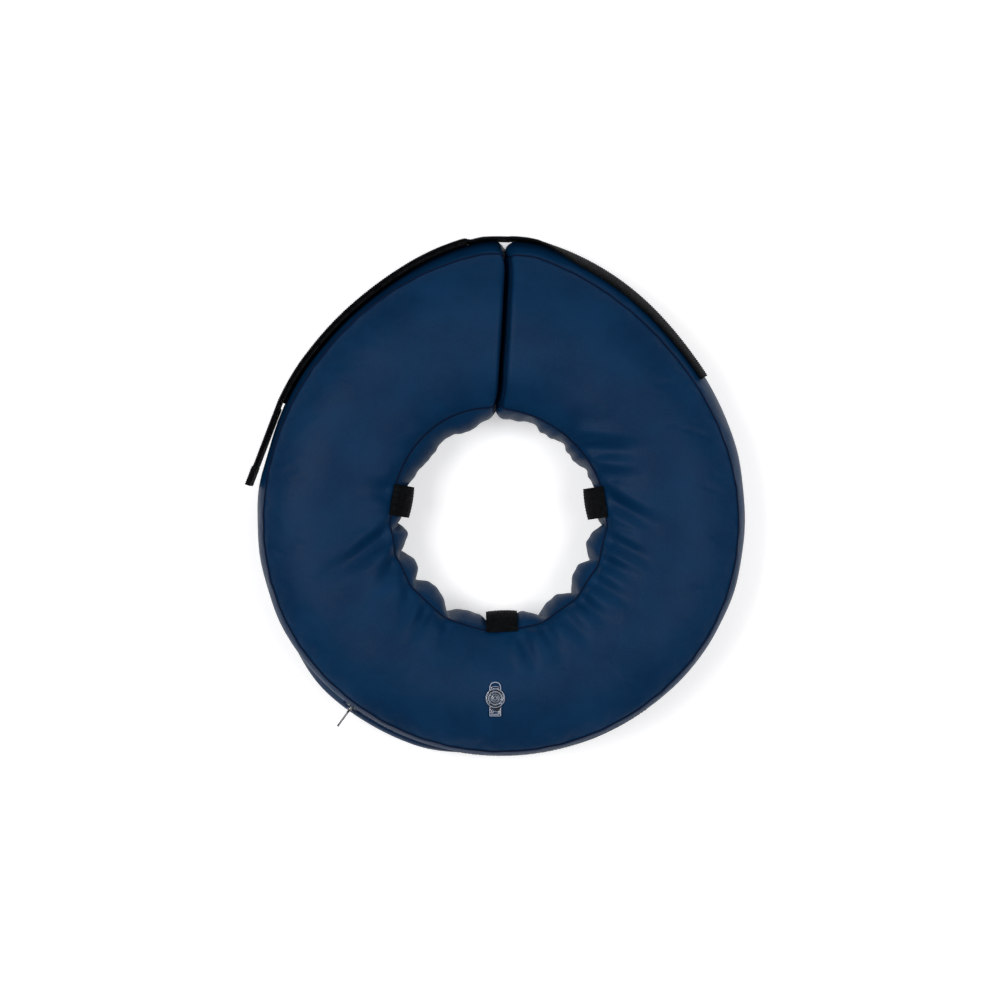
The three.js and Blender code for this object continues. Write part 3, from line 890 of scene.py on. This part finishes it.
def make_seams(points, us):
    """Dark cords along the four seams and round both ends: painted shade of the valleys where the panels
    meet.
    """
    for side, part in halves(us):
        for name, panel in SEAM_ROWS.items():
            lift = 0.2 if name.startswith("top") else 0.35
            path = points[part, panel_rows(panel)[0]] + np.array([0, 0, lift * MM])
            cord = join_parts(f"seam_binding_{name}_{side}", [tube(path, SEAM_CORD * MM, 8)], SEAM_SHADE_CORD)
            ride_between(cord)
    for side, end in (("left", points[0]), ("right", points[-1])):
        ring = np.concatenate([end, end[:1]])
        cord = join_parts(f"seam_binding_end_{side}", [tube(ring, END_CORD * MM)], SEAM_SHADE_CORD)
        attach(cord, "jacket_fabric", f"{side}_arm")


# ---- Closure strap ----

LEAVE = on_wall(STRAP_LEAVE_U, STRAP_MIDDLE_Z, 0.0)[:2] / MM - RING_CENTRE
TAIL_RUN = np.array(TAIL_TIP) - LEAVE
TAIL_LENGTH = float(np.hypot(*TAIL_RUN))
TAIL_WAY = TAIL_RUN / TAIL_LENGTH
TAIL_OUT = np.array([TAIL_WAY[1], -TAIL_WAY[0]])
TAIL_END_U = STRAP_LEAVE_U + TAIL_LENGTH / TAIL_STEP


def along_strap(s, z, offset):
    """A point of the strap, in metres: on the wall up to the leaving point, on the straight tail after it."""
    s, z, offset = np.broadcast_arrays(np.asarray(s, float), z, offset)
    stuck = np.minimum(s, STRAP_LEAVE_U)
    upright = 0.25 + 0.75 * smooth(stuck, *STRAP_STANDS_U)
    widest = wall_radius(stuck, STRAP_MIDDLE_Z)
    wall = place(mix(wall_radius(stuck, z), widest, upright) + offset, z, own_u(stuck))
    run = (np.maximum(s - STRAP_LEAVE_U, 0) * TAIL_STEP)[..., None]
    flat = LEAVE + run * TAIL_WAY + offset[..., None] * TAIL_OUT + np.array(RING_CENTRE)
    tail = np.concatenate([flat * MM, (z * MM)[..., None]], -1)
    return np.where((s > STRAP_LEAVE_U)[..., None], tail, wall)


def strip(name, s, heights, inner, outer, material, rib=0.0):
    """A band along the strap's path between two offsets, its outer face ribbed across."""
    here = along_strap(s, STRAP_MIDDLE_Z, 0.0)
    ribs = rib * (0.5 + 0.5 * np.cos(2 * math.pi * lengths(here) / MM / RIB_PITCH))
    low, high = heights
    soft_in = mix(inner, outer, 0.35)
    soft_out = mix(inner, outer, 0.7) + 0.5 * ribs
    up = np.linspace(low, high, 10)
    rows = [along_strap(s, z, inner) for z in up[::-1]]
    rows.append(along_strap(s, low - SOFT_EDGE, soft_in))
    rows.append(along_strap(s, low - SOFT_EDGE - 0.4 * ribs, soft_out))
    rows += [along_strap(s, z, outer + ribs) for z in up]
    rows.append(along_strap(s, high + SOFT_EDGE + 0.4 * ribs, soft_out))
    rows.append(along_strap(s, high + SOFT_EDGE, soft_in))
    return mesh_object(name, np.stack(rows, 1).reshape(-1, 3), bar_faces(len(s), len(rows)), material)


def strap_steps(start, end, step=RIB_STEP):
    """Places along the strap, about a step apart."""
    return np.linspace(start, end, int((end - start) * DEGREE_LENGTH / step))


def tail_fold(s):
    """0 along the strap and 1 over its folded tail."""
    return smooth(s, TAIL_END_U - TAIL_FOLD, TAIL_END_U - TAIL_FOLD + 0.6)


def strap_inside(s):
    """The webbing's inner face: on the wall on the right, over the hooks and pile on the left."""
    return ON_WALL + (ON_HOOKS - ON_WALL) * smooth(s, *ON_HOOKS_U) - TAIL_FOLD_IN * tail_fold(s)


def make_webbing():
    """The strap's webbing in two lengths, which meet on the left wall."""
    s = strap_steps(STRAP_START_U, STRAP_CUT_U)
    inside = strap_inside(s)
    crossing = strip("closure_strap_webbing", s, STRAP_Z, inside, inside + WEB, BLACK_WEB, RIB)
    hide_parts("strap_anchor", "strap_webbing")
    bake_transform(crossing)

    s = strap_steps(STRAP_CUT_U, TAIL_END_U)
    outside = ON_HOOKS + WEB + TAIL_FOLD_OUT * tail_fold(s)
    tail = strip("closure_strap_tail", s, STRAP_Z, strap_inside(s), outside, BLACK_WEB, RIB)
    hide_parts("strap_tail")
    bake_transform(tail)


def make_hooks_and_pile():
    """The pile strip on the wall, and the hook tapes on the strap and its tail."""
    s = strap_steps(HOOKS_START_U, STRAP_LEAVE_U, HOOKS_STEP)
    pile = strip("pile_strip", s, HOOKS_Z, *PILE, HOOKS)
    attach(pile, "hook_and_loop", "left_arm", "strap_lining")
    tape = strip("hook_tape", s[:-3], HOOKS_Z, *HOOK_TAPE, HOOKS)
    attach(tape, "hook_and_loop", "closure_strap", "strap_hook_tape")
    s = strap_steps(STRAP_LEAVE_U + 1.5, TAIL_END_U - TAIL_FOLD + 0.2, HOOKS_STEP)
    tape = strip("tail_hook_tape", s, TAIL_HOOKS_Z, *TAIL_HOOK_TAPE, HOOKS)
    attach(tape, "hook_and_loop", "strap_end", "strap_tail_hook_tape")


# ---- Loops for the pet's own collar ----


def loop_facing(u):
    """Where the neck seam is at u, in metres, and the direction in which it faces away from the opening."""
    seam = place(neck_radius(u), 0.0, u)[:2]
    x, y = seam / MM - RING_CENTRE
    return seam, math.atan2((y - NECK["y"]) / NECK["b"] ** 2, (x - NECK["x"]) / NECK["a"] ** 2)


def collar_loop(name, u, body, node):
    """A webbing strip from seam to seam of the neck band, ribbed lengthwise."""
    corners = np.array([[LOOP_DEPTH * x, 0, z] for x, z in LOOP_PATH])
    far = lengths(corners)
    places = np.linspace(0, far[-1], 110)
    path = rounded(np.stack([np.interp(places, far, corners[:, k]) for k in range(3)], 1), 6)
    run = unit(np.gradient(path, axis=0))
    out = np.stack([run[:, 2], 0 * run[:, 0], -run[:, 0]], 1)
    out *= -np.sign(out[len(out) // 2, 0])
    crimp = 0.10 * np.cos(2 * math.pi * places / 1.7)[:, None]
    half = LOOP_WIDTH / 2
    across = np.linspace(-half, half, 41)
    front = [LOOP_HALF_THICK + 0.16 * math.cos(2 * math.pi * y / 2.5) + crimp for y in across]
    rows = [path + out * rise + np.array([0, y, 0]) for rise, y in zip(front, across)]
    rows += [path - out * LOOP_HALF_THICK + np.array([0, y, 0]) for y in across[::-1]]
    grid = np.stack(rows, 1)
    grid[..., 0] -= 0.8 * (1 - (grid[..., 1] / half) ** 2) * smooth(-grid[..., 0], 3, 11)
    seam, facing = loop_facing(u)
    turn = np.array([[math.cos(facing), -math.sin(facing)], [math.sin(facing), math.cos(facing)]])
    grid[..., :2] = grid[..., :2] @ turn.T + seam / MM
    faces = [tuple(reversed(face)) for face in bar_faces(len(path), len(rows))]
    loop = mesh_object(name, grid.reshape(-1, 3) * MM, faces, BLACK_WEB)
    attach(loop, "webbing", body, node)


# ---- Zip ----

ZIP_SIDES = ((1, "upper"), (-1, "lower"))
TAPE_Z = (0.2, 6.3)
TAPE_OFFSETS = (-1.3, -0.6)
TOOTH_PITCH = 1.5
TOOTH = [(2.5, 0.0), (1.9, 0.35), (0.9, 0.45), (-0.2, 0.45), (-0.5, 0.1)]  # height from the zip, offset
STITCH_PITCH = 2.8
STITCH_LENGTH = 2.0
BAR_RADIUS = WALL_RADIUS + 5.4  # the pull hangs on the slider's bar here

# Slider boxes: (out from the wall's round, along the zip, up) from one corner to the other.
SLIDER_BOXES = [
    ((1.8, -5, -4.7), (3.1, 5, 4.7)),
    ((0.7, -4, 3.2), (2.2, 4, 4.7)),
    ((0.7, -4, -4.7), (2.2, 4, -3.2)),
    ((2.8, -0.9, 2.1), (5.9, 0.9, 3.2)),
    ((2.8, -0.9, -3.2), (5.9, 0.9, -2.1)),
    ((4.9, -0.7, -2.6), (6.0, 0.7, 2.6)),
]
PULL_EDGE = [(1.3, -1.8), (3.2, -3.1), (9.0, -2.5), (14.6, -3.2), (16.4, -2.6), (17.0, -1.4)]
PULL_EDGE += [(x, -z) for x, z in reversed(PULL_EDGE)]
PULL_HOLE = (13.6, 1.5)
PULL_HALF_THICK = 0.85

SLIDER_CENTRE = Vector((RING_CENTRE[0], RING_CENTRE[1] + RAIL_Y, ZIP_Z)) * MM
SLIDER_AT = Matrix.Translation(SLIDER_CENTRE) @ Matrix.Rotation(math.radians(270 + SLIDER_U), 4, "Z")


def make_zip_tape(side, name):
    """One tape of the zip, above or below its teeth."""
    u = np.linspace(ZIP_U[0] + 0.2, ZIP_U[1] - 0.2, 200)
    low, high = sorted(side * z for z in TAPE_Z)
    levels = np.linspace(low, high, 5) + ZIP_Z
    inner, outer = (offset - ZIP_PROUD for offset in TAPE_OFFSETS)
    rows = [on_wall(u, z, inner) for z in levels[::-1]]
    rows += [on_wall(u, z, outer) for z in levels]
    faces = bar_faces(len(u), len(rows))
    tape = mesh_object(f"zip_tape_{name}_weave", np.stack(rows, 1).reshape(-1, 3), faces, ZIP_TAPE)
    attach(tape, "zip_tape", "lower_ring", f"zip_tape_{name}")


def make_zip_teeth(side, name):
    """Rounded nylon turns that interlock with the other tape's."""
    start, end = SLIDER_U - 0.3, ZIP_U[1] - 2.2
    step = math.degrees(TOOTH_PITCH / WALL_RADIUS)
    shift = 0.5 if side > 0 else 0
    turns = []
    for i in range(int((end - start) / step)):
        u = start + (i + shift) * step
        path = [on_wall(u, ZIP_Z + side * z, offset - ZIP_PROUD) for z, offset in TOOTH]
        turns.append(tube(np.stack(path), 0.42 * MM, 5))
    attach(join_parts(f"zip_teeth_{name}", turns, ZIP_COIL), "zip_coil", "lower_ring", f"zip_coil_{name}")


def stitches(path, out):
    """Short runs of thread along a path, which rise out of it in their middle."""
    fine = 0.5
    dense = resampled(path, fine * MM)
    along = np.array([0.0, 0.2, 0.8, 1.0])[:, None]
    rise = np.array([-0.25, 0.25, 0.25, -0.25])[:, None] * MM
    runs = []
    for i in range(int(len(dense) / (STITCH_PITCH / fine))):
        first = int(i * STITCH_PITCH / fine)
        last = min(len(dense) - 1, first + int(STITCH_LENGTH / fine))
        if last - first > 1:
            runs.append(tube(mix(dense[first], dense[last], along) + out * rise, 0.28 * MM, 4))
    return runs


def make_topstitching():
    """A row of stitches above and below the zip."""
    u = np.linspace(ZIP_U[0] - 1, ZIP_U[1] + 1, 300)
    runs = []
    for side in (-1, 1):
        z = ZIP_Z + side * (ZIP_HALF_WINDOW + 2)
        runs += stitches(on_wall(u, z, 0.1), np.array([0.0, -1.0, 0.0]))
    attach(join_parts("zip_topstitching", runs, THREAD), "jacket_fabric", "lower_ring")


def add_box(solid, low, high):
    """Adds a box to a bmesh, from its low and high corner in millimetres."""
    low, high = Vector(low), Vector(high)
    made = bmesh.ops.create_cube(solid, size=1)
    shape = Matrix.Translation((low + high) / 2 * MM) @ Matrix.Diagonal((*((high - low) * MM), 1))
    bmesh.ops.transform(solid, verts=made["verts"], matrix=shape)


def round_edges(solid, size, segments):
    edges = solid.edges[:]
    bmesh.ops.bevel(solid, geom=edges, offset=size * MM, segments=segments, profile=0.5, affect="EDGES")


def make_slider():
    """The slider's two plates, its flanges and the bar its pull hangs on."""
    solid = bmesh.new()
    for low, high in SLIDER_BOXES:
        add_box(solid, (WALL_RADIUS + low[0], *low[1:]), (WALL_RADIUS + high[0], *high[1:]))
    round_edges(solid, 0.35, 3)
    bmesh.ops.transform(solid, verts=solid.verts[:], matrix=SLIDER_AT)
    slider = solid_object("zip_slider_body", solid, METAL)
    slider.data.polygons.foreach_set("use_smooth", [True] * len(slider.data.polygons))
    attach(slider, "zip_metal", "zip_runner", "zip_slider")


def make_pull():
    """The flat pull: a waisted plate with a round hole."""
    hole_x, hole_radius = PULL_HOLE
    angles = np.linspace(0, 2 * math.pi, 24, endpoint=False)
    hole = [(hole_x + hole_radius * math.cos(a), hole_radius * math.sin(a)) for a in angles]
    solid = bmesh.new()
    edges = []
    for loop in (PULL_EDGE, hole):
        verts = [solid.verts.new((BAR_RADIUS + x, -PULL_HALF_THICK, z)) for x, z in loop]
        edges += [solid.edges.new((verts[i], verts[(i + 1) % len(verts)])) for i in range(len(verts))]
    filled = bmesh.ops.triangle_fill(solid, use_beauty=True, edges=edges)
    plate = [part for part in filled["geom"] if isinstance(part, bmesh.types.BMFace)]
    grown = bmesh.ops.extrude_face_region(solid, geom=plate)
    moved = [part for part in grown["geom"] if isinstance(part, bmesh.types.BMVert)]
    bmesh.ops.translate(solid, verts=moved, vec=(0, 2 * PULL_HALF_THICK, 0))
    bmesh.ops.recalc_face_normals(solid, faces=solid.faces[:])
    bmesh.ops.scale(solid, verts=solid.verts[:], vec=(MM, MM, MM))
    bmesh.ops.transform(solid, verts=solid.verts[:], matrix=SLIDER_AT)
    pull = solid_object("zip_pull_plate", solid, METAL)
    edge = pull.modifiers.new("edge", "BEVEL")
    edge.width = 0.25 * MM
    edge.segments = 2
    edge.limit_method = "ANGLE"
    attach(pull, "zip_metal", "zip_tab", "zip_pull")


def make_pull_eye():
    """The pull's eye: a short coil of wire round the slider's bar."""
    rings = []
    for z in (-1.2, -0.4, 0.4, 1.2):
        angles = np.linspace(0, 2 * math.pi, 25)
        around = [Vector((BAR_RADIUS + 1.5 * math.cos(a), 1.5 * math.sin(a), z)) for a in angles]
        rings.append(tube([SLIDER_AT @ (point * MM) for point in around], 0.42 * MM))
    attach(join_parts("zip_pull_eye", rings, METAL), "zip_metal", "zip_tab")


# ---- Inflation valve ----

VALVE_AXIS = (VALVE[0] + RING_CENTRE[0], VALVE[1] + RING_CENTRE[1])
LID_Z = VALVE_SEAT_Z + 1.7

# Turned outlines as (radius, height), the stem's above its seat and the cap's above the lid's underside.
STEM = [(3.7, -16.2), (6.2, -16.2), (6.2, 0.1), (7.7, 0.1), (8.0, 0.4), (8.0, 1.1), (7.7, 1.4)]
STEM += [(6.9, 1.4), (6.7, 1.2), (5.2, 1.2), (5.0, 1.4), (3.7, 1.4)]
CAP = [(0, -4), (2.0, -4), (2.5, -3.5), (2.8, 0), (7.1, 0), (7.4, 0.3)]
CAP += [(7.4, 1.0), (7.1, 1.4), (6.2, 1.4), (5.9, 0.9), (4.9, 0.9)]
CAP += [(4.6, 1.3), (3.9, 1.3), (3.6, 0.8), (2.4, 0.8), (2.1, 1.2), (0, 1.2)]

# Moulded edges of the cap, above the lid's underside: rims as (radius, height, thickness), the lines along
# its hinge strap as (points, height, thickness), and its pull loop.
RIMS = [(7.3, 1.2, 0.28), (5.1, 0.95, 0.26), (3.2, 0.9, 0.16), (1.5, 1.1, 0.14)]
EDGE_LINES = [
    ([(-4.3, -7.2), (-4.3, -14.1), (4.3, -14.1), (4.3, -7.2)], 1.0, 0.26),
    ([(-3.4, -12.9), (3.4, -12.9)], 1.0, 0.3),
    ([(-3.4, -10.6), (3.4, -10.6)], 1.0, 0.14),
    ([(-3.2, 8.6), (0, 9.3), (3.2, 8.6)], 0.9, 0.2),
]
GRIP = [(-4.3, 6.4), (-4.2, 9.6), (-3.0, 11.8), (0, 12.7), (3.0, 11.8), (4.2, 9.6), (4.3, 6.4)]


def about_valve(x, y, z):
    """A point about the valve's axis, in metres."""
    return np.array([VALVE_AXIS[0] + x, VALVE_AXIS[1] + y, z]) * MM


def lathe(outline, base, segments=72):
    """Points and faces of a closed (radius, height) outline above a base, turned about the valve's axis."""
    points = []
    for i in range(segments):
        a = 2 * math.pi * i / segments
        for r, z in outline:
            r = max(r, 0.02)
            points.append(about_valve(r * math.cos(a), r * math.sin(a), base + z))
    count = len(outline)
    faces = []
    for i in range(segments):
        j = (i + 1) % segments
        for k in range(count):
            m = (k + 1) % count
            faces.append((i * count + k, j * count + k, j * count + m, i * count + m))
    return np.array(points), faces


def rounded_box(low, high, bevel=0.3):
    """Points and faces of a bevelled box about the valve's axis."""
    solid = bmesh.new()
    add_box(solid, about_valve(*low) / MM, about_valve(*high) / MM)
    round_edges(solid, bevel, 2)
    solid.verts.index_update()
    points = np.array([v.co[:] for v in solid.verts])
    faces = [tuple(v.index for v in f.verts) for f in solid.faces]
    solid.free()
    return points, faces


def rim(radius, height, thick):
    """A round moulded edge on the cap."""
    angles = np.linspace(0, 2 * math.pi, 73)
    path = [about_valve(radius * math.cos(a), radius * math.sin(a), LID_Z + height) for a in angles]
    return tube(path, thick * MM, 8)


def edge_line(stops, height, thick, rounding=0):
    """A moulded edge through (x, y) stops."""
    path = resampled([about_valve(x, y, LID_Z + height) for x, y in stops], 0.4 * MM)
    return tube(rounded(path, rounding), thick * MM, 8)


def make_valve():
    """The stem with its tongue, the cap with its hinge strap, and the cap's moulded edges."""
    tongue = rounded_box((-5, -15.0, VALVE_SEAT_Z + 0.05), (5, -6.6, VALVE_SEAT_Z + 1.0))
    stem = join_parts("valve_body", [lathe(STEM, VALVE_SEAT_Z), tongue], CLEAR)
    attach(stem, "valve_pvc", "valve_tube", "valve_stem")
    grip_root = rounded_box((-3.4, 6.6, LID_Z + 0.3), (3.4, 8.6, LID_Z + 0.9), 0.2)
    hinge_strap = rounded_box((-4.5, -14.4, LID_Z), (4.5, -6.2, LID_Z + 1.0))
    cap = join_parts("valve_cap_moulding", [lathe(CAP, LID_Z), grip_root, hinge_strap], CLEAR)
    attach(cap, "valve_pvc", "valve_plug", "valve_cap")
    edges = [rim(*values) for values in RIMS] + [edge_line(*values) for values in EDGE_LINES]
    edges.append(edge_line(GRIP, 0.65, 0.38, 4))
    attach(join_parts("valve_cap_edges", edges, CLEAR_EDGE), "valve_pvc", "valve_plug")


# ---- The object ----

points, us = skin_grid()
points = inflate(points, us)
make_panels(points, us)
make_end_panels(points)
make_bladder(points, us)
make_seams(points, us)
make_webbing()
make_hooks_and_pile()
collar_loop("collar_keeper_lower", 0.5, "lower_ring", "collar_loop_lower")
collar_loop("collar_keeper_left", -94.0, "left_arm", "collar_loop_left")
collar_loop("collar_keeper_right", 93.0, "right_arm", "collar_loop_right")
for side, name in ZIP_SIDES:
    make_zip_tape(side, name)
for side, name in ZIP_SIDES:
    make_zip_teeth(side, name)
make_topstitching()
make_slider()
make_pull()
make_pull_eye()
make_valve()

# CAD nodes that are kept as they are and only get a material.
KEPT = {
    "valve_sleeve": CLEAR,
    "valve_check_flap": CLEAR,
    "zip_stop_closed_end": METAL,
    "zip_stop_open_end": METAL,
}
for name, material in KEPT.items():
    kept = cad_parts[name].data
    kept.materials.clear()
    kept.materials.append(material)


# ---- Studio ----

WHITE = (1, 1, 1, 1)
FLOOR_HALF = 4.0  # metres, as all sizes from here on
FLOOR_DROP = 0.0005
LIGHTS = {
    "left_light": dict(where=(-1.25, 0.15, 2.2), size=(1.3, 1.3), power=38),
    "right_light": dict(where=(1.25, -0.15, 2.2), size=(1.3, 1.3), power=29),
    "front_light": dict(where=(0.1, -2.1, 1.9), size=(1.8, 1.0), power=3),
    "back_light": dict(where=(0.3, 2.2, 1.7), size=(1.8, 1.2), power=10),
}
CAMERA_AT = (0.0, 0.001, 2.56)
LENS = 113.6


def floor():
    corners = [(x * FLOOR_HALF, y * FLOOR_HALF, 0) for x, y in ((-1, -1), (1, -1), (1, 1), (-1, 1))]
    obj = mesh_object("studio_floor", corners, [(0, 1, 2, 3)], shade=False)
    obj.location.z = -FLOOR_DROP
    material, _, shader = nodes_of("studio_floor")
    settle(shader, {"Base Color": (0.93, 0.93, 0.93, 1), "Roughness": 0.9, "Specular IOR Level": 0.1})
    settle(shader, {"Emission Color": WHITE, "Emission Strength": 0.32})
    obj.data.materials.append(material)


def area_light(name, where, size, power):
    """A rectangular light that faces the ring."""
    light = bpy.data.lights.new(name, "AREA")
    light.shape = "RECTANGLE"
    light.size, light.size_y = size
    light.energy = power
    obj = bpy.data.objects.new(name, light)
    bpy.context.collection.objects.link(obj)
    obj.location = where
    obj.rotation_euler = (-Vector(where)).to_track_quat("-Z", "Y").to_euler()


def camera():
    """Straight above the ring, with the photograph's upper edge towards +Y."""
    data = bpy.data.cameras.new("camera")
    data.sensor_width = 36
    data.lens = LENS
    data.clip_end = 20
    obj = bpy.data.objects.new("camera", data)
    bpy.context.collection.objects.link(obj)
    obj.location = CAMERA_AT
    bpy.context.scene.camera = obj


def surroundings():
    world = bpy.data.worlds.new("studio")
    world.use_nodes = True
    settle(world.node_tree.nodes["Background"], {"Color": WHITE, "Strength": 0.22})
    bpy.context.scene.world = world
    bpy.context.scene.view_settings.view_transform = "Standard"


floor()
for name, values in LIGHTS.items():
    area_light(name, **values)
surroundings()
camera()
